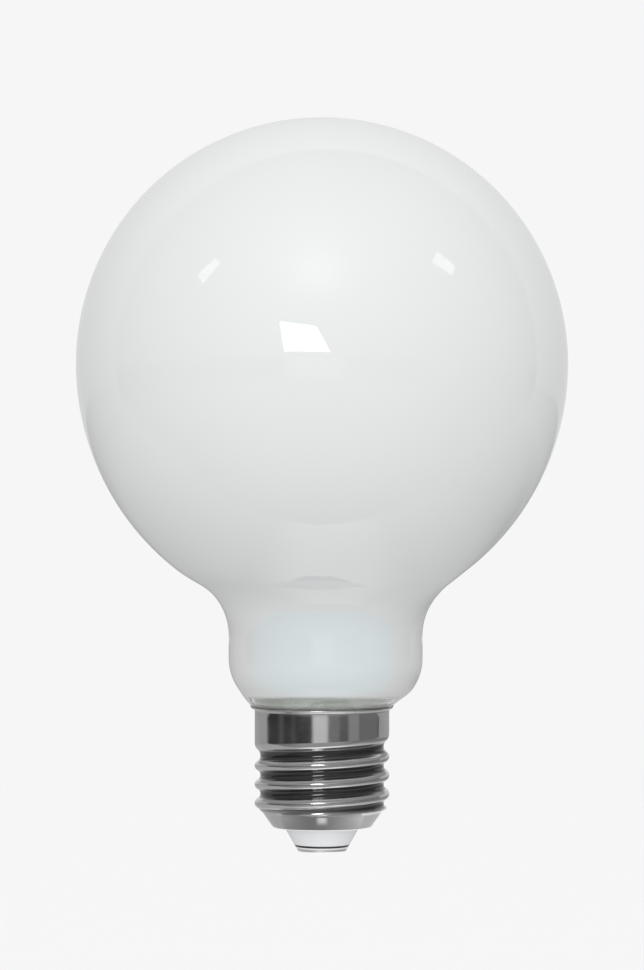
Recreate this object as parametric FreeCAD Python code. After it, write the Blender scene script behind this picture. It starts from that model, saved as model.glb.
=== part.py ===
import FreeCAD, Part
import math
import os

# Opal globe lamp with a large screw cap, in millimetres.
# The origin is on the lamp's axis at the lowest face of the centre contact. +Z runs from cap to globe.

# Blown envelope
globe_diameter = 95.2
lamp_length = 141.9
belly_radius = 50.4         # the lower half is a little fuller than a ball
neck_diameter = 37.6
neck_fillet = 11.8          # hollow curve between the belly and the neck
neck_foot_rise = 11.0       # from the rim's flare to the end of the straight neck
shoulder_radius = 10.2
shoulder_turn = 47.5        # degrees from upright where the shoulder becomes a cone
seal_diameter = 23.8        # the part that sits inside the cap
seal_rise = 2.87            # from the highest root of the thread to the foot of the glass
skirt_wall = 0.75           # of the glass skirt that stands in the cement
stem_wall = 0.9             # of the stem's flare
flare_mouth_radius = 6.8    # the stem's flare, open towards the cap
flare_top_radius = 3.6
flare_top_height = 35.5
exhaust_diameter = 3.2      # the sealed stub of the pumping tube
exhaust_end_rise = 1.8      # from the foot of the glass

# Rolled screw shell
sheet = 0.3
thread_major_diameter = 26.1
thread_pitch = 3.629
knuckle_radius = 1.025      # crests and roots are equal arcs
grooves = 3
top_root_height = 19.33
bore_crest_flat = 0.6       # flats of the same folds seen from inside
bore_root_flat = 1.5
rim_diameter = 27.5
rim_flare_rise = 7.07       # from the highest root of the thread to where the skirt starts to flare
rim_flare_radius = 1.6
foot_edge_diameter = 24.3   # sharp edge under the last groove
foot_edge_height = 8.1
cone_top_diameter = 23.0
cone_top_height = 7.56
cone_foot_diameter = 19.0
shell_foot_height = 4.7
shell_foot_round = 0.7
shell_hole_diameter = 14.8

# Moulded insulator
insulator_hole_clearance = 0.1
insulator_foot_diameter = 9.9
insulator_flange_diameter = 17.0
insulator_flange_thickness = 2.4
insulator_round = 0.35

# Riveted centre contact
contact_diameter = 9.6
contact_thickness = 0.6
contact_round = 0.45
shank_diameter = 2.5
shank_clearance = 0.05
rivet_head_diameter = 4.4
rivet_head_thickness = 0.5
rivet_head_round = 0.3

# Capping cement
cement_foot_rise = 0.8      # from the foot of the glass
cement_top_rise = 1.1       # from where the skirt starts to flare
seal_cement_top_rise = 3.8  # from where the skirt starts to flare
seal_cement_round = 0.75

# Driver inside the cap
board_height = 10.5
board_thickness = 1.0
board_clearance = 0.2
capacitor_diameter = 6.3
capacitor_length = 7.4
capacitor_offset = 5.6
capacitor_round = 0.5
capacitor_bead_height = 1.5
capacitor_bead_depth = 0.25
rectifier_size = (4.7, 3.8, 2.4)
rectifier_place = (0.0, -6.0)
chip_size = (4.9, 3.9, 1.5)
chip_place = (-5.6, 3.4)
cut_corner = 0.2            # of the height of a moulded block, along the edge that marks pin 1
fuse_diameter = 2.4
fuse_waist_diameter = 2.0
fuse_length = 6.8
fuse_cap_length = 1.4
fuse_round = 0.3
fuse_place = (-5.4, -3.6)

# Wires
stem_lead_diameter = 0.6
stem_lead_offset = 2.6
live_wire_diameter = 0.9
neutral_wire_diameter = 0.7
neutral_foot_radius = 9.6
neutral_weld_drop = 0.7     # from the foot of the glass down to the weld on the skirt
neutral_bend = 1.5


globe_radius = globe_diameter / 2
globe_centre = lamp_length - globe_radius
neck_radius = neck_diameter / 2
seal_radius = seal_diameter / 2
major_radius = thread_major_diameter / 2
skirt_bore_radius = major_radius - sheet
half_pitch = thread_pitch / 2
rim_flare_height = top_root_height + rim_flare_rise
neck_foot_height = rim_flare_height + neck_foot_rise
seal_height = top_root_height + seal_rise
exhaust_end_height = seal_height + exhaust_end_rise
cement_foot_height = seal_height + cement_foot_rise
cement_top_height = rim_flare_height + cement_top_rise
seal_cement_top_height = rim_flare_height + seal_cement_top_rise
skirt_bore = seal_radius - skirt_wall
skirt_lip_height = seal_height + skirt_wall / 2
stem_radius = flare_mouth_radius + stem_wall
stem_lip_height = seal_height + stem_wall / 2
neutral_weld_height = seal_height - neutral_weld_drop
knuckle_turn = math.degrees(math.asin(half_pitch / 2 / knuckle_radius))
thread_depth = 2 * knuckle_radius * (1 - math.cos(math.radians(knuckle_turn)))
root_bore_radius = skirt_bore_radius - thread_depth
skirt_foot_height = top_root_height + half_pitch
shell_floor_height = shell_foot_height + sheet
hole_radius = shell_hole_diameter / 2
insulator_neck_radius = hole_radius - insulator_hole_clearance
insulator_top_height = shell_floor_height + insulator_flange_thickness
rivet_top_height = insulator_top_height + rivet_head_thickness
board_top_height = board_height + board_thickness
board_radius = root_bore_radius - board_clearance
axis = FreeCAD.Vector(0, 0, 1)


def point(radius, height):
    return FreeCAD.Vector(radius, 0, height)


def line(start, end):
    return Part.makeLine(point(*start), point(*end))


def arc(centre, radius, first, last):
    """Arc in the plane of the axis, between two angles in degrees counted up from the outward direction."""
    def at(angle):
        turn = math.radians(angle)
        return point(centre[0] + radius * math.cos(turn), centre[1] + radius * math.sin(turn))
    return Part.Arc(at(first), at((first + last) / 2), at(last)).toShape()


def rounded_path(corners):
    """Open chain of straight edges; a corner with a third number is rounded with that radius."""
    edges = []
    start = point(*corners[0][:2])
    for number in range(1, len(corners) - 1):
        corner = point(*corners[number][:2])
        radius = corners[number][2] if len(corners[number]) == 3 else 0
        if not radius:
            edges.append(Part.makeLine(start, corner))
            start = corner
            continue
        back = (point(*corners[number - 1][:2]) - corner).normalize()
        ahead = (point(*corners[number + 1][:2]) - corner).normalize()
        half = back.getAngle(ahead) / 2
        trim = radius / math.tan(half)
        bisector = (back + ahead).normalize()
        nearest = corner + bisector * (radius / math.sin(half) - radius)
        edges.append(Part.makeLine(start, corner + back * trim))
        edges.append(Part.Arc(corner + back * trim, nearest, corner + ahead * trim).toShape())
        start = corner + ahead * trim
    edges.append(Part.makeLine(start, point(*corners[-1][:2])))
    return edges


def outline(*corners):
    """Closed chain of straight edges and roundings that starts and ends at the first corner."""
    return rounded_path(corners + (corners[0],))


def turned(edges):
    """Solid turned about the lamp's axis from a closed section."""
    section = Part.Face(Part.Wire(Part.__sortEdges__(edges)))
    return section.revolve(FreeCAD.Vector(0, 0, 0), axis, 360)


def shoulder_line():
    """Where the shoulder's curve ends, and how steeply the cone below it runs in."""
    turn = math.radians(shoulder_turn)
    radius = neck_radius - shoulder_radius * (1 - math.cos(turn))
    height = neck_foot_height - shoulder_radius * math.sin(turn)
    return radius, height, math.tan(turn)


def cone_height(radius):
    """Height of the glass cone under the shoulder at a radius."""
    shoulder_end, height, slope = shoulder_line()
    return height - (shoulder_end - radius) / slope


def cone_radius(height):
    """Radius of the glass cone under the shoulder at a height."""
    shoulder_end, shoulder_height, slope = shoulder_line()
    return shoulder_end - (shoulder_height - height) * slope


def stem_outside(height):
    """Outer radius of the stem's flare at a height, one wall outside its bore."""
    share = (height - stem_lip_height) / (flare_top_height - stem_lip_height)
    return stem_radius + (flare_top_radius - flare_mouth_radius) * share


def mouth_corners():
    """Gap between glass skirt and stem: up the skirt's bore, along its cone and in to the stem."""
    shift = skirt_wall / math.cos(math.radians(shoulder_turn))
    top = seal_cement_top_height
    return [
        (skirt_bore, cone_height(skirt_bore + shift)),
        (cone_radius(top) - shift, top, seal_cement_round),
        (stem_outside(top), top),
    ]


def glass_globe():
    """Blown envelope: ball, fuller belly, fillet, neck, shoulder, and a skirt around the stem's flare."""
    belly_centre = globe_radius - belly_radius
    fillet_centre = neck_radius + neck_fillet
    reach = belly_radius + neck_fillet
    drop = math.sqrt(reach ** 2 - (fillet_centre - belly_centre) ** 2)
    fillet_height = globe_centre - drop
    meet = math.degrees(math.atan2(drop, fillet_centre - belly_centre))
    shoulder_end, shoulder_height, _ = shoulder_line()
    seal_top = cone_height(seal_radius)
    exhaust = exhaust_diameter / 2
    edges = [
        arc((0, globe_centre), globe_radius, 90, 0),
        arc((belly_centre, globe_centre), belly_radius, 0, -meet),
        arc((fillet_centre, fillet_height), neck_fillet, 180 - meet, 180),
        line((neck_radius, fillet_height), (neck_radius, neck_foot_height)),
        arc((neck_radius - shoulder_radius, neck_foot_height), shoulder_radius, 0, -shoulder_turn),
        line((shoulder_end, shoulder_height), (seal_radius, seal_top)),
        line((seal_radius, seal_top), (seal_radius, skirt_lip_height)),
        arc((seal_radius - skirt_wall / 2, skirt_lip_height), skirt_wall / 2, 0, -180),
        arc((stem_radius - stem_wall / 2, stem_lip_height), stem_wall / 2, 0, -180),
        line((flare_mouth_radius, stem_lip_height), (flare_top_radius, flare_top_height)),
        line((flare_top_radius, flare_top_height), (exhaust, flare_top_height)),
        line((exhaust, flare_top_height), (exhaust, exhaust_end_height + exhaust)),
        arc((0, exhaust_end_height + exhaust), exhaust, 0, -90),
        line((0, exhaust_end_height), (0, lamp_length)),
    ]
    skirt_foot = (skirt_bore, skirt_lip_height)
    stem_foot = (stem_radius, stem_lip_height)
    edges += rounded_path([skirt_foot] + mouth_corners() + [stem_foot])
    return turned(edges)


def rim_turn():
    """Degrees through which the skirt flares out to the rim."""
    return math.degrees(math.acos(1 - (rim_diameter / 2 - major_radius) / rim_flare_radius))


def flare_arc(radius):
    """One side of the flared rim, down from the lip to the skirt; both sides turn about the same centre."""
    centre = (major_radius + rim_flare_radius, rim_flare_height)
    return arc(centre, radius, 180 - rim_turn(), 180)


def lip_point(radius):
    turn = math.radians(rim_turn())
    centre = major_radius + rim_flare_radius
    return centre - radius * math.cos(turn), rim_flare_height + radius * math.sin(turn)


def thread_outside():
    """Knuckle thread below the skirt: half a crest, a hollow and half a crest a groove, all tangent arcs."""
    edges = []
    crest_centre = major_radius - knuckle_radius
    root_centre = crest_centre + 2 * knuckle_radius * math.cos(math.radians(knuckle_turn))
    for groove in range(grooves):
        root = top_root_height - groove * thread_pitch
        edges.append(arc((crest_centre, root + half_pitch), knuckle_radius, 0, -knuckle_turn))
        edges.append(arc((root_centre, root), knuckle_radius, 180 - knuckle_turn, 180 + knuckle_turn))
        edges.append(arc((crest_centre, root - half_pitch), knuckle_radius, knuckle_turn, 0))
    last_root = top_root_height - grooves * thread_pitch
    edges.append(arc((crest_centre, last_root + half_pitch), knuckle_radius, 0, -knuckle_turn))
    edges.append(arc((root_centre, last_root), knuckle_radius, 180 - knuckle_turn, 180))
    edges.append(line((major_radius - thread_depth, last_root), (foot_edge_diameter / 2, foot_edge_height)))
    return edges


def thread_inside():
    """The same folds inside the sheet, as flats at the crests and roots joined by straight flanks."""
    corners = [(skirt_bore_radius, rim_flare_height)]
    for groove in range(grooves):
        root = top_root_height - groove * thread_pitch
        corners.append((skirt_bore_radius, root + half_pitch - bore_crest_flat / 2))
        corners.append((root_bore_radius, root + bore_root_flat / 2))
        corners.append((root_bore_radius, root - bore_root_flat / 2))
        corners.append((skirt_bore_radius, root - half_pitch + bore_crest_flat / 2))
    last_root = top_root_height - grooves * thread_pitch
    corners.append((skirt_bore_radius, last_root + half_pitch - bore_crest_flat / 2))
    corners.append((root_bore_radius, last_root + bore_root_flat / 2))
    return corners


def cone_inset(turn):
    """Where a line one sheet inside the cone passes, as (radius, height) beside the cone's top."""
    return cone_top_diameter / 2 - sheet * math.sin(turn), cone_top_height + sheet * math.cos(turn)


def screw_shell():
    """Rolled sheet: flared rim, plain skirt, knuckle thread, cone and a foot turned in to the insulator."""
    outer_lip = lip_point(rim_flare_radius)
    inner_lip = lip_point(rim_flare_radius + sheet)
    cone_turn = math.atan2(cone_top_height - shell_foot_height, (cone_top_diameter - cone_foot_diameter) / 2)
    inset_radius, inset_height = cone_inset(cone_turn)
    floor_radius = inset_radius - (inset_height - shell_floor_height) / math.tan(cone_turn)
    knee_height = inset_height + (root_bore_radius - inset_radius) * math.tan(cone_turn)
    outside = [flare_arc(rim_flare_radius)]
    outside.append(line((major_radius, rim_flare_height), (major_radius, skirt_foot_height)))
    outside += thread_outside()
    outside += rounded_path([
        (foot_edge_diameter / 2, foot_edge_height),
        (cone_top_diameter / 2, cone_top_height),
        (cone_foot_diameter / 2, shell_foot_height, shell_foot_round),
        (hole_radius, shell_foot_height),
    ])
    inside = rounded_path([
        (hole_radius, shell_foot_height),
        (hole_radius, shell_floor_height),
        (floor_radius, shell_floor_height, shell_foot_round - sheet),
        (root_bore_radius, knee_height),
    ] + thread_inside()[::-1])
    inside.append(flare_arc(rim_flare_radius + sheet))
    return turned(outside + inside + [line(inner_lip, outer_lip)])


def seal_cement():
    """Ring of cement between glass skirt and stem, which shows through the glass above the rim."""
    foot = cement_foot_height
    return turned(outline((stem_outside(foot), foot), (skirt_bore, foot), *mouth_corners()))


def capping_cement():
    """Ring of cement that holds the glass skirt in the cap, up to the flare of the rim."""
    turn = math.asin((cement_top_height - rim_flare_height) / (rim_flare_radius + sheet))
    top_radius = major_radius + rim_flare_radius - (rim_flare_radius + sheet) * math.cos(turn)
    seal_top = cone_height(seal_radius)
    centre = (major_radius + rim_flare_radius, rim_flare_height)
    edges = [arc(centre, rim_flare_radius + sheet, 180, 180 - math.degrees(turn))]
    edges += rounded_path([
        (top_radius, cement_top_height),
        (cone_radius(cement_top_height), cement_top_height),
        (seal_radius, seal_top),
        (seal_radius, cement_foot_height),
        (skirt_bore_radius, cement_foot_height),
        (skirt_bore_radius, rim_flare_height),
    ])
    return turned(edges)


def cap_insulator():
    """White moulding: a flange on the shell's floor, a neck through its hole and a cone to the contact."""
    bore = shank_diameter / 2 + shank_clearance
    return turned(outline(
        (bore, contact_thickness),
        (insulator_foot_diameter / 2, contact_thickness, insulator_round),
        (insulator_neck_radius, shell_foot_height),
        (insulator_neck_radius, shell_floor_height),
        (insulator_flange_diameter / 2, shell_floor_height),
        (insulator_flange_diameter / 2, insulator_top_height, insulator_round),
        (bore, insulator_top_height),
    ))


def centre_contact():
    """Contact disc, its shank and the head riveted over the insulator, as one piece."""
    return turned(outline(
        (0, 0),
        (contact_diameter / 2, 0, contact_round),
        (contact_diameter / 2, contact_thickness),
        (shank_diameter / 2, contact_thickness),
        (shank_diameter / 2, insulator_top_height),
        (rivet_head_diameter / 2, insulator_top_height),
        (rivet_head_diameter / 2, rivet_top_height, rivet_head_round),
        (0, rivet_top_height),
    ))


def driver_board():
    """Round circuit board that fits between the inner folds of the thread."""
    return Part.makeCylinder(board_radius, board_thickness, FreeCAD.Vector(0, 0, board_height), axis)


def smoothing_capacitor():
    """Electrolytic can standing on the board, with its rolled bead near the foot."""
    radius = capacitor_diameter / 2
    foot = board_top_height
    bead = foot + capacitor_bead_height
    can = turned(outline(
        (0, foot),
        (radius, foot, capacitor_round),
        (radius, bead - capacitor_bead_depth),
        (radius - capacitor_bead_depth, bead),
        (radius, bead + capacitor_bead_depth),
        (radius, foot + capacitor_length, capacitor_round),
        (0, foot + capacitor_length),
    ))
    can.translate(FreeCAD.Vector(capacitor_offset, 0, 0))
    return can


def block(size, place, foot):
    """Moulded component centred over a place on the board, with its corner marking pin 1 cut off."""
    length, width, height = size
    corner = FreeCAD.Vector(place[0] - length / 2, place[1] - width / 2, foot)
    body = Part.makeBox(length, width, height, corner)
    return body.makeChamfer(height * cut_corner, body.Edges[0:1])


def bridge_rectifier():
    return block(rectifier_size, rectifier_place, board_height - rectifier_size[2])


def driver_chip():
    return block(chip_size, chip_place, board_top_height)


def fuse_resistor():
    """Fusible resistor lying on the board: two end caps with a thinner barrel between them."""
    half = fuse_length / 2
    cap = fuse_diameter / 2
    waist = fuse_waist_diameter / 2
    barrel = turned(outline(
        (0, -half),
        (cap, -half, fuse_round),
        (cap, fuse_cap_length - half),
        (waist, fuse_cap_length - half),
        (waist, half - fuse_cap_length),
        (cap, half - fuse_cap_length),
        (cap, half, fuse_round),
        (0, half),
    ))
    barrel.rotate(FreeCAD.Vector(0, 0, 0), FreeCAD.Vector(1, 0, 0), 90)
    barrel.translate(FreeCAD.Vector(fuse_place[0], fuse_place[1], board_top_height + cap))
    return barrel


def upright_wire(diameter, x, y, foot, top):
    return Part.makeCylinder(diameter / 2, top - foot, FreeCAD.Vector(x, y, foot), axis)


def live_wire():
    """From the riveted head of the centre contact to the underside of the board."""
    return upright_wire(live_wire_diameter, 0, 0, rivet_top_height, board_height)


def stem_lead(side):
    """From the board to the top of the flare, where the wire is pinched into the glass."""
    return upright_wire(stem_lead_diameter, 0, side * stem_lead_offset, board_top_height, flare_top_height)


def neutral_wire():
    """From the board up beside the seal and out to its weld on the skirt."""
    foot = FreeCAD.Vector(-neutral_foot_radius, 0, board_top_height)
    before = FreeCAD.Vector(-neutral_foot_radius, 0, neutral_weld_height - neutral_bend)
    knee_shift = neutral_bend * (1 - math.sqrt(0.5))
    knee = FreeCAD.Vector(-neutral_foot_radius - knee_shift, 0, neutral_weld_height - knee_shift)
    after = FreeCAD.Vector(-neutral_foot_radius - neutral_bend, 0, neutral_weld_height)
    weld_radius = math.sqrt(skirt_bore_radius ** 2 - (neutral_wire_diameter / 2) ** 2)
    weld = FreeCAD.Vector(-weld_radius, 0, neutral_weld_height)
    path = Part.Wire([
        Part.makeLine(foot, before),
        Part.Arc(before, knee, after).toShape(),
        Part.makeLine(after, weld),
    ])
    section = Part.Wire(Part.makeCircle(neutral_wire_diameter / 2, foot, axis))
    return path.makePipeShell([section], True, False)


def main():
    os.makedirs("parts", exist_ok=True)
    nodes = {
        "glass_globe": glass_globe(),
        "seal_cement": seal_cement(),
        "capping_cement": capping_cement(),
        "screw_shell": screw_shell(),
        "cap_insulator": cap_insulator(),
        "centre_contact": centre_contact(),
        "driver_board": driver_board(),
        "smoothing_capacitor": smoothing_capacitor(),
        "bridge_rectifier": bridge_rectifier(),
        "driver_chip": driver_chip(),
        "fuse_resistor": fuse_resistor(),
        "live_wire": live_wire(),
        "neutral_wire": neutral_wire(),
        "stem_lead_front": stem_lead(-1),
        "stem_lead_back": stem_lead(1),
    }
    for name, shape in nodes.items():
        shape.exportStep("parts/" + name + ".step")
        print(name, shape.isValid(), round(shape.Volume, 2), len(shape.Solids))


main()
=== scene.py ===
import math

import bpy
import numpy as np
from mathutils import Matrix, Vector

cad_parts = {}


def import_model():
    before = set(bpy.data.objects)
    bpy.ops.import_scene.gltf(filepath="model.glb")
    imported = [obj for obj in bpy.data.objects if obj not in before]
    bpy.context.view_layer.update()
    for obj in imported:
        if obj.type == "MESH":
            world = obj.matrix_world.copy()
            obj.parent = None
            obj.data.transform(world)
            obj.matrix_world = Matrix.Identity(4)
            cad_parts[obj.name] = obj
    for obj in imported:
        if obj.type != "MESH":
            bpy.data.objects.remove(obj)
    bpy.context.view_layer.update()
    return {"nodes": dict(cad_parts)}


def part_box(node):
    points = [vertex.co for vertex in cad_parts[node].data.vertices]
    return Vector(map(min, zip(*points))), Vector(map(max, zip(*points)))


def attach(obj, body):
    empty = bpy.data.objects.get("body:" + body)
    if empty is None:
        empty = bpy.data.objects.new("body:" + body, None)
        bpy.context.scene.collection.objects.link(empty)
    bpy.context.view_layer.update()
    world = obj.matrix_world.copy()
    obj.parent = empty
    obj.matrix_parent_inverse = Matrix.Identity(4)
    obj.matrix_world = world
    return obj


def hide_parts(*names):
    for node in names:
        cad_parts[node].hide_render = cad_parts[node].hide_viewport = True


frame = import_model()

# Looks of an opal globe lamp with a nickel-plated screw cap.
# Forms are worked out in millimetres about the lamp's axis (+Z, cap down) and put into the meshes in metres.

MM = 0.001


def node_sizes(node):
    """Greatest radius, lowest and highest level of a node that is round about the axis, in millimetres."""
    low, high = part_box(node)
    return max(high[0], high[1]) / MM, low[2] / MM, high[2] / MM


# Sizes read from the frame
globe_radius, seal_foot, lamp_top = node_sizes("glass_globe")
_, shell_foot, shell_top = node_sizes("screw_shell")
flange_radius, insulator_foot, insulator_top = node_sizes("cap_insulator")
contact_radius, contact_foot, rivet_top = node_sizes("centre_contact")
_, cement_foot, cement_top = node_sizes("seal_cement")
globe_centre = lamp_top - globe_radius

# Blown glass
belly_radius = 50.4
neck_radius = 18.8
neck_fillet = 11.8
neck_foot = 37.4
shoulder_radius = 10.2
shoulder_turn = 47.5        # degrees from upright at which the shoulder goes over into a cone
seal_radius = 11.9
coated_wall = 0.9
clear_wall = 0.75
neck_sway = 0.7             # the blown neck stands this much to the right of the axis
sway_top = (54.5, 49.5)     # going down, the lean comes on between these levels
sway_foot = (28.2, 31.5)    # and going up, between these

# White coating inside the glass
coating_end = 30.38         # the coating stops here, and the glass is clear below
coating_wave = 0.29         # it ends this much higher at the front and back, and lower at the sides
coating_run = 2.4           # how far it has run down further, right at the sides
belly_painted_shade = (78.0, 58.0)   # painted shade greys its tone between these levels, going down the belly,
fillet_painted_shade = (53.0, 48.5)  # in the neck's fillet
neck_painted_shade = (46.5, 44.0)    # and at the top of the neck
neck_reflection_level = 38.8      # a painted reflection, a cool patch, shows in the front of the neck: the level of its centre
neck_reflection_width = 13.3      # and how far it goes to each side
neck_reflection_height = 8.0      # and up and down

# Cement
cement_bore = 6.5
cement_edge_round = 0.75
cement_bite = 0.03          # the cement goes this far into the clear glass, so no air is between them
crumb_circle = 13.4

# Screw shell
sheet = 0.3
crest_radius = 13.05
pitch = 3.629
knuckle = 1.025
top_root = 20.24            # where the highest root passes +X
run_out = (5.0, 80.0)       # degrees past +X over which the highest groove fades
top_flank = 1.44            # the highest groove's upper side is this much longer than the others
rim_flare = 0.5
skirt_foot = 22.6           # the plain skirt is above this level
thread_foot = 8.1
foot_edge_radius = 12.15
cone_top = (11.5, 7.56)
cone_foot = (9.5, shell_foot)
foot_round = 0.7
hole_radius = 7.4

# Insulator and contact
insulator_neck = 7.3
insulator_bore = 1.3
insulator_foot_radius = 4.95
contact_thickness = 0.6
shank_radius = 1.25
rivet_head_radius = 2.2


def arc(centre, radius, first, last, count):
    """Points (radius, level) on a circle, from one angle to another in degrees counted up from outward."""
    turn = np.radians(np.linspace(first, last, count))
    return np.stack([centre[0] + radius * np.cos(turn), centre[1] + radius * np.sin(turn)], axis=1)


def straight(start, end, count=2):
    """Evenly spaced points on a straight line."""
    share = np.linspace(0, 1, count)[:, None]
    return (1 - share) * np.asarray(start, float) + share * np.asarray(end, float)


def rounded(before, corner, after, radius, count=7):
    """Points on the arc that rounds a corner between two straight sides.

    The arc's centre lies on the bisector, a radius from both sides; its points are turned by equal angles
    from the one side to the other.
    """
    before, corner, after = (np.asarray(point, float) for point in (before, corner, after))
    back = (before - corner) / np.linalg.norm(before - corner)
    ahead = (after - corner) / np.linalg.norm(after - corner)
    half = math.acos(float(np.clip(back @ ahead, -1, 1))) / 2
    bisector = (back + ahead) / np.linalg.norm(back + ahead)
    centre = corner + bisector * radius / math.sin(half)
    start = corner + back * radius / math.tan(half) - centre
    end = corner + ahead * radius / math.tan(half) - centre
    share = np.linspace(0, 1, count)[:, None]
    span = math.pi - 2 * half
    return centre + (np.sin((1 - share) * span) * start + np.sin(share * span) * end) / math.sin(span)


def joined(*runs):
    """One run of points from several, without the doubled ones where two meet."""
    points = np.concatenate(runs)
    keep = np.concatenate([[True], np.linalg.norm(np.diff(points, axis=0), axis=1) > 1e-5])
    return points[keep]


def smooth(value, low, high):
    """0 below the low value, 1 above the high one, and a smooth rise between them; low may be above high."""
    share = np.clip((value - low) / (high - low), 0, 1)
    return share * share * (3 - 2 * share)


def grid_faces(index, loop=False):
    """Quads and triangles between the rows of a grid of point numbers whose columns close to a ring.

    A quad takes two points of one row and the two below them; at a row that is one point it is a triangle.
    """
    upper = index if loop else index[:-1]
    lower = np.roll(index, -1, axis=0) if loop else index[1:]
    corners = np.stack([upper, lower, np.roll(lower, -1, axis=1), np.roll(upper, -1, axis=1)], axis=2)
    corners = corners.reshape(-1, 4)
    top_pole = corners[:, 0] == corners[:, 3]
    foot_pole = corners[:, 1] == corners[:, 2]
    triangles = np.concatenate([corners[top_pole][:, :3], corners[foot_pole][:, [0, 1, 3]]])
    return corners[~top_pole & ~foot_pole], triangles


def new_piece(name, points, quads, triangles, material, crease):
    """Smooth object from the points that its faces use, in millimetres, with sharp edges over the crease."""
    used, corners = np.unique(np.concatenate([quads.ravel(), triangles.ravel()]), return_inverse=True)
    faces = corners[:quads.size].reshape(-1, 4).tolist() + corners[quads.size:].reshape(-1, 3).tolist()
    mesh = bpy.data.meshes.new(name)
    mesh.from_pydata((points[used] * MM).tolist(), [], faces)
    mesh.update()
    mesh.shade_smooth()
    mesh.set_sharp_from_angle(angle=math.radians(crease))
    mesh.materials.append(material)
    piece = bpy.data.objects.new(name, mesh)
    bpy.context.scene.collection.objects.link(piece)
    return piece


def grid_mesh(name, radius, level, material, loop=False, crease=35.0):
    """Mesh from radius and level on a grid of rows by columns, the columns evenly spaced round the axis.

    Rows run down the outside, so the faces point outwards. A row of radius 0 is closed to one point, and
    a loop joins the last row to the first. Between the belly and the cap, everything leans with the
    blown neck.
    """
    rows, columns = radius.shape
    turn = np.linspace(0, 2 * math.pi, columns, endpoint=False)
    sway = neck_sway * smooth(level, *sway_top) * smooth(level, *sway_foot)
    points = np.stack([radius * np.cos(turn) + sway, radius * np.sin(turn), level], axis=2).reshape(-1, 3)
    index = np.arange(rows * columns).reshape(rows, columns)
    poles = radius.max(axis=1) < 1e-6
    index[poles] = index[poles][:, :1]
    return new_piece(name, points, *grid_faces(index, loop), material, crease)


def ring_rows(profile, columns):
    """Radius and level on a grid that is the same all the way round, from (radius, level) points."""
    return np.repeat(profile[:, :1], columns, axis=1), np.repeat(profile[:, 1:], columns, axis=1)


def turned(name, profile, material, columns=192, loop=False, crease=35.0):
    """Mesh turned about the axis from a profile of (radius, level) points."""
    return grid_mesh(name, *ring_rows(profile, columns), material, loop, crease)


def place(piece, slot, *nodes):
    """The piece rides on the lamp's one body and stands for the named nodes; the slot is not used."""
    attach(piece, "root")
    if nodes:
        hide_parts(*nodes)


class Socket:
    """A node's output in a shader; arithmetic on it adds Math nodes."""

    def __init__(self, tree, link):
        self.tree = tree
        self.link = link

    def math(self, operation, *values):
        """Math node on the values, each a socket or a number."""
        node = self.tree.nodes.new("ShaderNodeMath")
        node.operation = operation
        for number, value in enumerate(values):
            if isinstance(value, Socket):
                self.tree.links.new(value.link, node.inputs[number])
            else:
                node.inputs[number].default_value = value
        return Socket(self.tree, node.outputs[0])

    def apply(self, operation, *others):
        """Math node on this socket and on the others, where the operation takes more than one."""
        return self.math(operation, self, *others)

    def __add__(self, other):
        return self.math("ADD", self, other)

    def __radd__(self, other):
        return self.math("ADD", other, self)

    def __sub__(self, other):
        return self.math("SUBTRACT", self, other)

    def __rsub__(self, other):
        return self.math("SUBTRACT", other, self)

    def __mul__(self, other):
        return self.math("MULTIPLY", self, other)

    def __rmul__(self, other):
        return self.math("MULTIPLY", other, self)

    def __truediv__(self, other):
        return self.math("DIVIDE", self, other)

    def __pow__(self, other):
        return self.math("POWER", self, other)

    def step(self, low, high):
        """0 below the low value, 1 above the high one, and smooth between them; low may be above high."""
        return Shader(self.tree).node(
            "ShaderNodeMapRange", {"interpolation_type": "SMOOTHSTEP"},
            {"Value": self, "From Min": low, "From Max": high})["Result"]


def band(value, start, end, soft):
    """1 between two values and 0 beyond them, with soft edges."""
    return value.step(start - soft, start + soft) * (1 - value.step(end - soft, end + soft))


def colour(value):
    """A plain colour as four numbers; a socket stays as it is."""
    return value if isinstance(value, Socket) else (*value, 1.0)


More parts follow.
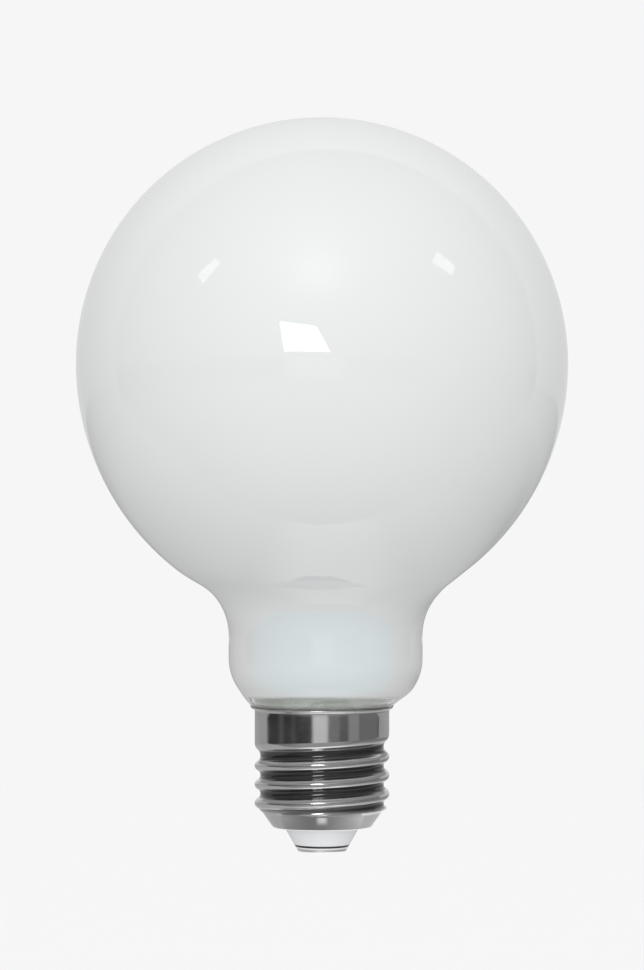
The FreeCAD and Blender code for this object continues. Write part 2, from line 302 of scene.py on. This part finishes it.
class Shader:
    """A node tree, the one method that adds any node to it, and short names for the nodes used most."""

    def __init__(self, tree):
        self.tree = tree

    def node(self, kind, settings=None, sockets=None):
        """Adds a node, sets its settings, then fills its sockets; returns its enabled outputs by name."""
        node = self.tree.nodes.new(kind)
        for name, value in (settings or {}).items():
            setattr(node, name, value)
        for name, value in (sockets or {}).items():
            target = node.inputs[name]
            if isinstance(value, Socket):
                self.tree.links.new(value.link, target)
            else:
                target.default_value = value
        return {output.name: Socket(self.tree, output) for output in node.outputs if output.enabled}

    def mix(self, share, first, second):
        """Colour between two colours."""
        return self.node(
            "ShaderNodeMix", {"data_type": "RGBA"}, {0: share, 6: colour(first), 7: colour(second)})["Result"]

    def blend(self, share, first, second):
        """Surface between two surfaces."""
        return self.node("ShaderNodeMixShader", {}, {0: share, 1: first, 2: second})["Shader"]

    def emission(self, strength, tint=(1.0, 1.0, 1.0)):
        """Surface that gives off an even light."""
        sockets = {"Color": colour(tint), "Strength": strength}
        return self.node("ShaderNodeEmission", {}, sockets)["Emission"]

    def clear(self):
        """Surface that isn't there."""
        return self.node("ShaderNodeBsdfTransparent")["BSDF"]

    def underside(self):
        """1 where a face is seen from behind and 0 from its front."""
        return self.node("ShaderNodeNewGeometry")["Backfacing"]

    def own_coordinates(self):
        """The piece's own coordinates as one vector, in metres."""
        return self.node("ShaderNodeTexCoord")["Object"]

    def position(self):
        """The piece's own coordinates in millimetres: to the right, away from the camera and up."""
        where = self.node("ShaderNodeSeparateXYZ", {}, {"Vector": self.own_coordinates()})
        return [where[axis] / MM for axis in "XYZ"]

    def distance(self):
        """How far a point of the piece is from the middle of the frame, in metres."""
        return self.node(
            "ShaderNodeVectorMath", {"operation": "LENGTH"}, {0: self.own_coordinates()})["Value"]

    def noise(self, scale, detail=3.0, roughness=0.5, stretch=(1, 1, 1)):
        """Smooth noise from 0 to 1, with its scale in features a metre."""
        where = self.node(
            "ShaderNodeMapping", {}, {"Vector": self.own_coordinates(), "Scale": stretch})["Vector"]
        return self.node("ShaderNodeTexNoise", {}, {
            "Vector": where, "Scale": scale, "Detail": detail, "Roughness": roughness})["Fac"]

    def bump(self, height, strength, distance):
        """Normal of a relief of the given height."""
        return self.node("ShaderNodeBump", {}, {
            "Height": height, "Strength": strength, "Distance": distance})["Normal"]


def new_material(name, surface):
    """Material whose surface(shader) is what it shows."""
    material = bpy.data.materials.new(name)
    material.use_nodes = True
    material.node_tree.nodes.clear()
    shader = Shader(material.node_tree)
    shader.node("ShaderNodeOutputMaterial", {}, {"Surface": surface(shader)})
    return material


def principled(name, sockets):
    """Material with one Principled shader; sockets(shader) gives the values or links of its sockets."""
    return new_material(
        name, lambda shader: shader.node("ShaderNodeBsdfPrincipled", {}, sockets(shader))["BSDF"])


def coating_tone_and_painted_light(shader, across, away, height):
    """Near white, faint clouds, painted shade down the belly and fillet, a cool painted reflection patch in
    the neck's front.

    The patch is where the fourth powers of across and of height, each over its half size, add up to under 1.
    """
    cloud = shader.noise(22.0, 2.0)
    tone = shader.mix(cloud.step(0.3, 0.7), (0.846, 0.862, 0.866), (0.854, 0.870, 0.874))
    patch = (across / neck_reflection_width) ** 4.0 + ((height - neck_reflection_level) / neck_reflection_height) ** 4.0
    # Painted shade: greyer going down the belly, in the fillet and at the top of the neck
    tone = shader.mix(height.step(*belly_painted_shade), tone, (0.826, 0.842, 0.845))
    tone = shader.mix(height.step(*fillet_painted_shade), tone, (0.775, 0.79, 0.785))
    tone = shader.mix(height.step(*neck_painted_shade), tone, (0.765, 0.775, 0.77))
    # Painted reflection of the room: a cool patch at the front of the neck
    return shader.mix(patch.step(1.5, 0.4) * away.step(0.0, -4.0), tone, (0.735, 0.795, 0.815))


def envelope_glass():
    """Blown glass, coated white inside: opal under a smooth skin, and clear below the coating's wavy edge.

    The coating lets light through; the inside of the wall stands for this with a weak painted glow.
    """
    def surface(shader):
        across, away, height = shader.position()
        waves = shader.bump(shader.noise(35.0, 1.0), 0.05, 0.0006)
        inside = shader.node("ShaderNodeAttribute", {"attribute_name": "inside"})["Fac"]
        opal = shader.node("ShaderNodeBsdfPrincipled", {}, {
            "Base Color": coating_tone_and_painted_light(shader, across, away, height), "Roughness": 0.03, "IOR": 1.5,
            # Painted glow: the inner half of the wall gives off a weak light
            "Normal": waves, "Emission Color": shader.mix(inside, (0, 0, 0), (1.0, 1.0, 0.98)),
            "Emission Strength": 0.12})["BSDF"]
        marks = shader.bump(shader.noise(260.0, 3.0), 0.2, 0.0002)
        clear = shader.node("ShaderNodeBsdfPrincipled", {}, {
            "Base Color": (0.93, 0.95, 0.94, 1), "Roughness": 0.02, "IOR": 1.5,
            "Transmission Weight": 1.0, "Normal": marks})["BSDF"]
        # 1 at the front and back, and -1 at the sides
        facing = (away * away - across * across) / (away * away + across * across)
        edge = coating_end + facing * coating_wave - facing.step(-0.66, -0.88) * coating_run
        return shader.blend((height - edge).step(-0.08, 0.12), clear, opal)
    return new_material("opal_glass", surface)


def cement(name, light, dark):
    """Grainy lamp cement, with painted shade greying it towards its left and right ends."""
    def sockets(shader):
        grain = shader.noise(2600.0, 5.0, 0.65)
        patches = shader.noise(420.0, 3.0)
        across = shader.position()[0]
        # Painted shade: darker towards the left and right ends
        ends = across.apply("ABSOLUTE").step(4.5, 12.5) * 0.6
        tone = shader.mix((grain * 0.7 + patches * 0.3).step(0.35, 0.65), dark, light)
        tone = shader.mix(ends, tone, tuple(0.45 * level for level in dark))
        return {"Base Color": tone, "Roughness": 0.85, "Normal": shader.bump(grain, 0.8, 0.00012)}
    return principled(name, sockets)


def nickel():
    """Bright nickel on rolled sheet: fine marks that run round the cap, duller patches and painted shade in
    the grooves.
    """
    def sockets(shader):
        across, away, height = shader.position()
        radius = (across ** 2.0 + away ** 2.0) ** 0.5
        # Painted shade: the thread's roots are darkened
        groove = radius.step(12.5, 12.1) * height.step(7.8, 9.0)
        drawn = shader.noise(900.0, 4.0, 0.6, (0.12, 0.12, 6.0))
        patches = shader.noise(160.0, 3.0)
        speck = shader.noise(5200.0, 2.0).step(0.66, 0.74)
        tone = shader.mix(patches.step(0.35, 0.7), (0.60, 0.595, 0.605), (0.65, 0.645, 0.65))
        tone = shader.mix(speck * 0.35, tone, (0.42, 0.41, 0.41))
        # Painted shade in the grooves
        tone = shader.mix(groove * 0.9, tone, (0.03, 0.029, 0.029))
        rough = 0.10 + patches.step(0.3, 0.8) * 0.06 + speck * 0.10
        relief = shader.bump(drawn * 0.6 + shader.noise(1500.0, 2.0) * 0.4, 0.10, 0.00005)
        return {"Base Color": tone, "Metallic": 1.0, "Roughness": rough, "Normal": relief}
    return principled("nickel_plate", sockets)


def white_moulding():
    """White moulded insulator, slightly glossy, with a painted shadow line along the contact."""
    def sockets(shader):
        height = shader.position()[2]
        tone = shader.mix(shader.noise(300.0, 3.0).step(0.3, 0.7), (0.89, 0.90, 0.92), (0.91, 0.915, 0.93))
        # Painted shadow: a dark line where the insulator meets the contact
        tone = shader.mix(band(height, 0.96, 1.38, 0.03), tone, (0.01, 0.01, 0.01))
        relief = shader.bump(shader.noise(2400.0, 2.0), 0.12, 0.00005)
        return {"Base Color": tone, "Roughness": 0.28, "IOR": 1.5, "Normal": relief}
    return principled("white_moulding", sockets)


def contact_metal():
    """Stamped contact: soft sheen, darker in the fine pits."""
    def sockets(shader):
        pits = shader.noise(3200.0, 3.0).step(0.55, 0.75)
        tone = shader.mix(pits, (0.88, 0.875, 0.87), (0.60, 0.59, 0.58))
        relief = shader.bump(shader.noise(1400.0, 3.0), 0.2, 0.00005)
        return {"Base Color": tone, "Metallic": 1.0, "Roughness": 0.45 + pits * 0.15, "Normal": relief}
    return principled("contact_metal", sockets)


def plain_finish(name, light, dark, roughness, metallic=0.0, scale=900.0):
    """Finish of a small inner piece: two close tones in a fine grain, with its relief."""
    def sockets(shader):
        grain = shader.noise(scale, 3.0)
        tone = shader.mix(grain.step(0.3, 0.7), dark, light)
        relief = shader.bump(grain, 0.2, 0.00005)
        return {"Base Color": tone, "Metallic": metallic, "Roughness": roughness, "Normal": relief}
    return principled(name, sockets)


def glass_outside():
    """Outer meridian of the glass, downwards: ball, fuller belly, fillet, neck, shoulder, cone and seal.

    The belly's circle has its centre level with the ball's and touches the ball there; the fillet's circle
    touches the belly's circle and the neck.
    """
    belly_centre = globe_radius - belly_radius
    fillet_centre = neck_radius + neck_fillet
    drop = math.sqrt((belly_radius + neck_fillet) ** 2 - (fillet_centre - belly_centre) ** 2)
    fillet_level = globe_centre - drop
    meet = math.degrees(math.atan2(drop, fillet_centre - belly_centre))
    shoulder = arc((neck_radius - shoulder_radius, neck_foot), shoulder_radius, 0, -shoulder_turn, 30)
    seal_top = shoulder[-1][1] - (shoulder[-1][0] - seal_radius) / math.tan(math.radians(shoulder_turn))
    return joined(
        arc((0, globe_centre), globe_radius, 90, 0, 90),
        arc((belly_centre, globe_centre), belly_radius, 0, -meet, 56),
        arc((fillet_centre, fillet_level), neck_fillet, 180 - meet, 180, 28),
        straight((neck_radius, fillet_level), (neck_radius, neck_foot), 8),
        shoulder,
        straight(shoulder[-1], (seal_radius, seal_top), 14),
        straight((seal_radius, seal_top), (seal_radius, seal_foot), 6))


def inset_by(profile, depth):
    """The same run of points moved inwards along its normals; depth is one value, or one for each point."""
    along = np.gradient(profile, axis=0)
    along /= np.linalg.norm(along, axis=1)[:, None]
    inwards = np.stack([along[:, 1], -along[:, 0]], axis=1)
    moved = profile + inwards * np.reshape(depth, (-1, 1))
    moved[:, 0] = np.maximum(moved[:, 0], 0)
    return moved


def blown_envelope(material):
    """Closed thin wall of glass, thinner below the coating; its inner half is marked for the material."""
    outside = glass_outside()
    wall = clear_wall + (coated_wall - clear_wall) * smooth(outside[:, 1], coating_end, coating_end + 2)
    inside = inset_by(outside, wall)[::-1]
    outside[0, 0] = 0
    inside[-1, 0] = 0
    envelope = turned("blown_envelope", joined(outside, inside), material, columns=216, crease=50)
    count = len(envelope.data.vertices)
    inner = (np.arange(count) >= count / 2).astype(float)
    envelope.data.attributes.new("inside", "FLOAT", "POINT").data.foreach_set("value", inner)
    return envelope


def skirt_cement(material):
    """Cement behind the clear glass, following its inside down from a flat top with a rounded edge."""
    wall = inset_by(glass_outside(), clear_wall - cement_bite)
    side = wall[(wall[:, 1] < cement_top - 1.4) & (wall[:, 1] > cement_foot)]
    edge = (np.interp(cement_top, wall[::-1, 1], wall[::-1, 0]), cement_top)
    return turned("skirt_cement", joined(
        straight((cement_bore, cement_top), (edge[0] - 3, cement_top), 12),
        rounded((cement_bore, cement_top), edge, side[0], cement_edge_round, 9), side,
        np.array([[side[-1][0], cement_foot], [cement_bore + 1, cement_foot]])),
        material, loop=True, crease=60)


def cement_ring(material):
    """Cement between the seal and the skirt; its top, just under the lip, rises and falls by three sines."""
    columns = 160
    turn = np.linspace(0, 2 * math.pi, columns, endpoint=False)
    uneven = 0.12 * np.sin(7 * turn + 1) + 0.10 * np.sin(13 * turn) + 0.08 * np.sin(23 * turn + 2)
    # Radius, level and the share of the unevenness, up the inside of the ring and down its outside
    section = np.array([
        (12.7, 26.4, 0), (12.7, 23.0, 0), (seal_radius + 0.05, 23.0, 0), (seal_radius + 0.05, 26.6, 0),
        (12.4, 27.0, 0), (12.85, 27.3, 0.5), (13.05, 27.75, 1), (13.25, 27.8, 1), (13.28, 27.72, 0.5),
        (12.95, 27.2, 0)])
    radius, level = ring_rows(section[:, :2], columns)
    return grid_mesh(
        "cement_ring", radius, level + section[:, 2:] * uneven, material, loop=True, crease=80)


def crumbs(material):
    """Small lumps of cement squeezed out along the rim, as flattened spheres with a wavy radius."""
    draw = np.random.default_rng(7)
    rows, columns = 9, 12
    down = np.linspace(0, math.pi, rows)[:, None]
    around = np.linspace(0, 2 * math.pi, columns, endpoint=False)[None, :]
    index = np.arange(rows * columns).reshape(rows, columns)
    index[[0, -1]] = index[[0, -1], :1]
    points = []
    grids = []
    # The larger lumps sit at the left and right, and small ones round the front
    turns = np.radians(np.concatenate([[177.0, 184.0, 190.5, 2.0, -5.0], draw.uniform(195, 345, 7)]))
    sizes = np.concatenate([[0.48, 0.42, 0.25, 0.42, 0.30], draw.uniform(0.08, 0.15, 7)])
    for number, (turn, size) in enumerate(zip(turns, sizes)):
        waves = 1 + 0.25 * np.sin(3 * around + number) * np.sin(down) + 0.15 * np.sin(2 * down + 2 * number)
        ball = np.stack([
            np.sin(down) * np.cos(around), np.sin(down) * np.sin(around), 0.7 * np.cos(down) + 0 * around], 2)
        centre = np.array([crumb_circle * math.cos(turn), crumb_circle * math.sin(turn), shell_top + 0.1])
        points.append((size * waves[..., None] * ball + centre).reshape(-1, 3))
        grids.append(grid_faces(index + number * rows * columns))
    quads, triangles = (np.concatenate(faces) for faces in zip(*grids))
    return new_piece("cement_crumbs", np.concatenate(points), quads, triangles, material, crease=180)


def thread_radius(turn, level):
    """Radius of the rolled thread at an angle and a level.

    The depth below the crest is that of tangent arcs of one radius, hollow about each root line and convex
    between them; a root line climbs one pitch a turn, and the highest groove fades out into the skirt. Its
    side towards the skirt is drawn out along the axis.
    """
    turns = turn / (2 * math.pi)
    highest = np.floor(run_out[1] / 360 - turns)
    number = np.minimum(np.round((level - top_root) / pitch - turns), highest)
    across = level - top_root - (number + turns) * pitch
    across = np.where((number == highest) & (across > 0), across / top_flank, np.abs(across))
    across = np.minimum(across, pitch / 2)
    half = math.asin(pitch / 4 / knuckle)
    depth = 2 * knuckle * (1 - math.cos(half))
    hollow = depth - knuckle + np.sqrt(np.maximum(knuckle ** 2 - across ** 2, 0))
    convex = knuckle - np.sqrt(np.maximum(knuckle ** 2 - (pitch / 2 - across) ** 2, 0))
    groove = np.where(across < pitch / 4, hollow, convex)
    travelled = np.degrees((number + turns) * 2 * math.pi)
    return crest_radius - groove * (1 - smooth(travelled, *run_out))


def foot_limit(level):
    """Radius of the cone that cuts the thread off at its lower end."""
    return np.interp(level, [thread_foot, thread_foot + 0.75], [foot_edge_radius, crest_radius + 0.2])


def screw_shell(material):
    """Rolled sheet shell: lip, flared rim, skirt, thread, cone and turned-in foot, and the same inside."""
    columns = 320
    turn = np.linspace(0, 2 * math.pi, columns, endpoint=False)[None, :]
    flare_foot = shell_top - sheet - rim_flare
    flare_centre = (crest_radius + rim_flare, flare_foot)
    rim_outside = joined(
        arc((flare_centre[0], shell_top - sheet / 2), sheet / 2, 90, -90, 9),
        arc(flare_centre, rim_flare, 90, 180, 9))
    rim_inside = arc(flare_centre, rim_flare + sheet, 180, 90, 9)[1:-1]
    levels = np.concatenate([
        np.linspace(flare_foot, skirt_foot, 6)[1:], np.linspace(skirt_foot - 0.1, thread_foot + 1.0, 116),
        np.linspace(thread_foot + 0.95, thread_foot, 22)])[:, None]
    thread_outside = np.minimum(thread_radius(turn, levels), foot_limit(levels))
    inner_levels = np.linspace(thread_foot + 0.5, flare_foot, 70)[:, None]
    # The sheet slopes in the thread and more at the foot, so it is wider than its thickness across the axis
    thread_inside = np.minimum(
        thread_radius(turn, inner_levels) - 1.2 * sheet, foot_limit(inner_levels) - 2 * sheet)
    thread_inside[-10:] = crest_radius - sheet
    foot_outside = joined(
        straight((foot_edge_radius, thread_foot), cone_top, 4)[1:],
        straight(cone_top, cone_foot, 12)[1:-2],
        rounded(cone_top, cone_foot, (hole_radius, shell_foot), foot_round, 9),
        straight((hole_radius + 0.8, shell_foot), (hole_radius, shell_foot), 4))
    foot_inside = joined(
        np.array([[hole_radius, shell_foot + sheet]]),
        straight((cone_foot[0] - 0.25, shell_foot + sheet), (cone_top[0] - sheet, cone_top[1] + 0.1), 10),
        np.array([[foot_edge_radius - 2.4 * sheet, thread_foot + 0.3]]))
    stretches = [
        ring_rows(rim_outside, columns),
        (thread_outside, np.repeat(levels, columns, axis=1)),
        ring_rows(foot_outside, columns),
        ring_rows(foot_inside, columns),
        (thread_inside, np.repeat(inner_levels, columns, axis=1)),
        ring_rows(rim_inside, columns)]
    radius, level = (np.concatenate(rows) for rows in zip(*stretches))
    return grid_mesh("rolled_screw_shell", radius, level, material, loop=True, crease=40)


def insulator(material):
    """White moulding: cone, neck through the shell and the flange on its floor."""
    foot = (insulator_foot_radius, insulator_foot)
    neck = (insulator_neck, shell_foot)
    top_edge = (flange_radius, insulator_top)
    profile = joined(
        np.array([[insulator_bore, insulator_top]]),
        rounded((insulator_bore, insulator_top), top_edge, (flange_radius, insulator_top - 2), 0.35),
        np.array([[flange_radius, shell_foot + sheet], [insulator_neck, shell_foot + sheet]]),
        straight(neck, foot, 14)[:-1],
        rounded(neck, foot, (insulator_bore, insulator_foot), 0.3),
        np.array([[insulator_bore, insulator_foot]]))
    return turned("white_insulator", profile, material, loop=True, crease=30)


def contact(material):
    """Contact disc with a rounded edge, its shank and its riveted head."""
    top = contact_foot + contact_thickness
    upper_round = 0.12
    bevel = 0.3
    profile = joined(
        np.array([[0, rivet_top], [rivet_head_radius - bevel, rivet_top]]),
        np.array([[rivet_head_radius, rivet_top - bevel], [rivet_head_radius, insulator_top]]),
        np.array([[shank_radius, insulator_top], [shank_radius, top]]),
        straight((shank_radius, top), (contact_radius - 0.1, top), 4),
        arc((contact_radius - upper_round, top - upper_round), upper_round, 90, 0, 5),
        rounded((contact_radius, top), (contact_radius, contact_foot), (0, contact_foot), 0.4, 9),
        np.array([[0, contact_foot]]))
    return turned("contact_disc", profile, material, crease=30)


def inner_finishes():
    """Procedural finishes of the nodes that stay as they are, inside the closed cap."""
    board = plain_finish("white_board", (0.78, 0.78, 0.73), (0.70, 0.70, 0.66), 0.45)
    can = plain_finish("drawn_can", (0.72, 0.72, 0.74), (0.62, 0.62, 0.64), 0.3, 1.0, 500.0)
    black = plain_finish("black_moulding", (0.035, 0.035, 0.04), (0.02, 0.02, 0.025), 0.55, 0.0, 4000.0)
    coating = plain_finish("resistor_coating", (0.38, 0.53, 0.45), (0.30, 0.45, 0.38), 0.5)
    copper = plain_finish("drawn_copper", (0.85, 0.48, 0.30), (0.72, 0.38, 0.23), 0.3, 1.0, 1200.0)
    wire = plain_finish("drawn_nickel", (0.70, 0.69, 0.67), (0.58, 0.57, 0.56), 0.3, 1.0, 1200.0)
    finishes = {
        "driver_board": board, "smoothing_capacitor": can, "bridge_rectifier": black, "driver_chip": black,
        "fuse_resistor": coating, "live_wire": copper, "neutral_wire": copper,
        "stem_lead_front": wire, "stem_lead_back": wire,
    }
    for node, material in finishes.items():
        mesh = frame["nodes"][node].data
        if mesh.materials:
            for number in range(len(mesh.materials)):
                mesh.materials[number] = material
        else:
            mesh.materials.append(material)


# Stage, in metres: what the photograph was taken with, and what shows in the glass and the metal
camera_place = (0.0, -0.583, 0.060)
camera_lens = 111.53        # focal length in millimetres, for a sensor 36 mm wide
camera_shift = 0.0585       # the picture is shifted up by this share of its longer side
backdrop_light = 0.921      # level of the pale background, as a linear value
floor_level = -0.12
paper_level = -0.098

# What upright metal sees of the dim room in front, level with the cap: from and to in degrees right of the
# camera, the softness of the edges, and the light added to the dark ground
room_ground = 0.04
room_bands = [
    (-79, -69, 4, 0.06),
    (-54, -46, 4, 0.035),
    (-16, 10, 3, 0.66),
    (10, 30, 4, 0.17),
    (30, 46, 6, 0.09),
    (46, 66, 4, 0.28),
    (66, 112, 6, 0.16),
]

# Corners of the lights that show in the globe, as seen from its centre
window_corners = [
    (-0.653, -1.856, 0.561), (-0.094, -1.985, 0.491), (0.142, -2.041, 0.087), (-0.586, -1.959, 0.094)]
left_corners = [
    (-1.382, -0.707, 1.321), (-1.339, -0.844, 1.285), (-1.565, -0.824, 1.015), (-1.587, -0.650, 1.100)]
right_corners = [
    (1.421, -0.508, 1.367), (1.419, -0.728, 1.269), (1.627, -0.567, 1.086), (1.618, -0.406, 1.167)]


def camera():
    """Level camera in front, at the photograph's distance and height, with its picture shifted up."""
    data = bpy.data.cameras.new("camera")
    data.sensor_width = 36.0
    data.lens = camera_lens
    data.shift_y = camera_shift
    eye = bpy.data.objects.new("camera", data)
    eye.location = camera_place
    eye.rotation_euler = (math.radians(90), 0, 0)
    bpy.context.scene.collection.objects.link(eye)
    bpy.context.scene.camera = eye


def glow(right, away, up, towards, sharpness):
    """Round soft light in one direction: a power of the cosine of the angle from it."""
    facing = right * towards[0] + away * towards[1] + up * towards[2]
    return facing.apply("MAXIMUM", 0.0) ** sharpness


def world():
    """Soft light from above and in front for matt surfaces; glossy ones see a dim room and a pale sweep."""
    scene = bpy.context.scene
    scene.world = bpy.data.worlds.new("studio")
    scene.world.use_nodes = True
    scene.world.node_tree.nodes.clear()
    shader = Shader(scene.world.node_tree)
    direction = shader.node("ShaderNodeTexCoord")["Generated"]
    split = shader.node("ShaderNodeSeparateXYZ", {}, {"Vector": direction})
    right, away, up = split["X"], split["Y"], split["Z"]
    degrees = 180 / math.pi
    azimuth = right.apply("ARCTAN2", away * -1.0) * degrees
    elevation = up.apply("ARCSINE") * degrees

    # For matt surfaces, one slope of light: more from above and from in front
    soft = 0.685 + up * 0.25 - away * 0.476 - right * 0.015

    # In front, the room is darker to the sides, has its bands near the horizon and a round light overhead
    bands = room_ground
    for start, end, edge, added in room_bands:
        bands = bands + band(azimuth, start, end, edge) * added
    overhead = glow(right, away, up, (-0.03, -0.70, 0.713), 9.0) * 0.65
    overhead = overhead + glow(right, away, up, (-0.03, -0.765, 0.643), 60.0) * 1.0
    room = 0.42 - 0.17 * right.apply("ABSOLUTE").step(0.45, 0.95) + up * 0.05
    horizon = band(elevation, -8.5, 0.5, 1.5)
    room = room * (1 - horizon) + bands * horizon + overhead

    # Behind, the sweep is lightest overhead and straight behind the lamp
    sweep = 0.49 + right * 0.03 + up ** 2.0 * 0.48 + away ** 4.0 * 0.30
    behind = (away - right * 0.07 - 0.40).step(-0.012, 0.012)
    glossy = room * (1 - behind) + sweep * behind

    path = shader.node("ShaderNodeLightPath")
    plain = path["Is Camera Ray"].apply("MAXIMUM", path["Is Transmission Ray"])
    seen = path["Is Glossy Ray"] * glossy + (1 - path["Is Glossy Ray"]) * soft
    level = plain * backdrop_light + (1 - plain) * seen
    background = shader.node("ShaderNodeBackground", {}, {"Color": (1.0, 1.0, 1.0, 1.0), "Strength": level})
    shader.node("ShaderNodeOutputWorld", {}, {"Surface": background["Background"]})


def stage_piece(name, points, faces, surface, unseen_by, chart=()):
    """Card or floor of the stage, unseen by the named kinds of ray; chart gives its corners' UV places."""
    mesh = bpy.data.meshes.new(name)
    mesh.from_pydata(points, [], faces)
    if chart:
        for loop, corner in zip(mesh.uv_layers.new(name="chart").data, chart):
            loop.uv = corner
    mesh.materials.append(new_material(name, surface))
    piece = bpy.data.objects.new(name, mesh)
    for kind in unseen_by:
        setattr(piece, f"visible_{kind}", False)
    bpy.context.scene.collection.objects.link(piece)


def gloss_card(name, points, faces, surface, chart=()):
    """Card that only shows in gloss."""
    stage_piece(name, points, faces, surface, ("camera", "diffuse", "shadow", "transmission"), chart)


def light_panel(name, corners, strength, stripes=0):
    """A lit panel, given by its corners as seen from the globe's centre.

    It is lit evenly, or in fine stripes across its length, as a louvred lamp is: a sine along it, steepened.
    """
    centre = np.array((0, 0, globe_centre * MM))

    def surface(shader):
        lit = shader.emission(strength)
        if not stripes:
            return lit
        chart = shader.node("ShaderNodeTexCoord")["UV"]
        along = shader.node("ShaderNodeSeparateXYZ", {}, {"Vector": chart})["X"]
        wave = (along * (2 * math.pi * stripes)).apply("SINE")
        return shader.blend(wave.step(-0.4, 0.4), shader.emission(strength * 0.25), lit)
    gloss_card(name, [tuple(centre + corner) for corner in corners], [(0, 1, 2, 3)], surface,
               chart=((0, 0), (0, 1), (1, 1), (1, 0)))


def paper():
    """Pale paper that the lamp stands over, brightest under it; its front edge is not far in front."""
    outline = [(-0.34, -0.077), (0.30, -0.077), (3.0, 1.5), (3.0, 4.0), (-3.0, 4.0), (-3.0, 1.05)]

    def surface(shader):
        right = shader.position()[0]
        tone = shader.mix(right.step(-15.0, -75.0), (1.35, 1.35, 1.35), (0.52, 0.52, 0.52))
        tone = shader.mix(right.step(30.0, 100.0), tone, (0.62, 0.62, 0.62))
        tone = shader.mix(right.step(100.0, 280.0), tone, (0.26, 0.26, 0.26))
        tone = shader.mix(shader.distance().step(0.55, 1.0), tone, (0.43, 0.43, 0.43))
        return shader.emission(1.0, tone)
    gloss_card("paper", [(x, y, paper_level) for x, y in outline], [tuple(range(len(outline)))], surface)


def ring(inner, outer, level, first, last, columns=64):
    """Points and faces of a flat ring, or of a part of it between two angles in degrees, facing down."""
    turn = np.radians(np.linspace(first, last, columns))
    circle = np.stack([np.cos(turn), np.sin(turn), 0 * turn], 1)
    points = np.concatenate([circle * inner, circle * outer]) + (0, 0, level)
    near = np.arange(columns - 1)
    return points.tolist(), np.stack([near, near + 1, near + 1 + columns, near + columns], 1).tolist()


def stand_card():
    """Grey card close under the cone, with a light streak in the middle; from afar it isn't there."""
    def surface(shader):
        across, away, _ = shader.position()
        out = (across ** 2.0 + away ** 2.0) ** 0.5
        tone = 0.27 + across * 0.0110 + across * across * 0.0019
        streak = across.apply("ABSOLUTE").step(2.4, 0.6) * out.step(11.6, 12.7)
        tone = tone * (1 - streak) + streak * 0.92
        tint = shader.node("ShaderNodeCombineColor", {}, {"Red": tone, "Green": tone, "Blue": tone})["Color"]
        afar = shader.node("ShaderNodeLightPath")["Ray Length"].step(0.020, 0.026)
        return shader.blend(afar, shader.emission(1.0, tint), shader.clear())
    gloss_card("stand_card", *ring(0.0098, 0.0146, 0.0005, 195, 345), surface)


def visor():
    """Grey ring level with the rim that shows in the thread from below only; from above it is not there."""
    def surface(shader):
        return shader.blend(shader.underside(), shader.emission(0.36), shader.clear())
    gloss_card("visor", *ring(0.020, 0.048, 0.0275, 0, 360), surface)


def floor():
    """Pale floor that keeps the lamp's shadow, fades out far off and is not there from below."""
    size = 4.0
    corners = [(-size, -size), (size, -size), (size, size), (-size, size)]

    def surface(shader):
        matt = shader.node("ShaderNodeBsdfDiffuse", {}, {"Color": (0.97, 0.97, 0.97, 1)})["BSDF"]
        lifted = shader.node("ShaderNodeAddShader", {}, {0: matt, 1: shader.emission(0.10)})["Shader"]
        gone = shader.distance().step(0.5, 2.0).apply("MAXIMUM", shader.underside())
        return shader.blend(gone, lifted, shader.clear())
    stage_piece("floor", [(x, y, floor_level) for x, y in corners], [(0, 1, 2, 3)], surface,
                ("glossy", "diffuse", "transmission"))


camera()
world()
floor()
paper()
stand_card()
visor()
light_panel("window_light", window_corners, 7.0)
light_panel("left_louvre", left_corners, 4.5, 11)
light_panel("right_louvre", right_corners, 4.5, 11)

place(blown_envelope(envelope_glass()), "opal_glass", "glass_globe")
grey_cement = cement("grey_cement", (0.84, 0.85, 0.80), (0.68, 0.69, 0.645))
dark_cement = cement("dark_cement", (0.30, 0.30, 0.275), (0.18, 0.18, 0.165))
place(skirt_cement(grey_cement), "cement", "seal_cement")
place(cement_ring(dark_cement), "cement", "capping_cement")
place(crumbs(dark_cement), "cement")
place(screw_shell(nickel()), "nickel_shell", "screw_shell")
place(insulator(white_moulding()), "white_insulator", "cap_insulator")
place(contact(contact_metal()), "contact_metal", "centre_contact")
inner_finishes()

bpy.context.scene.view_settings.view_transform = "Standard"
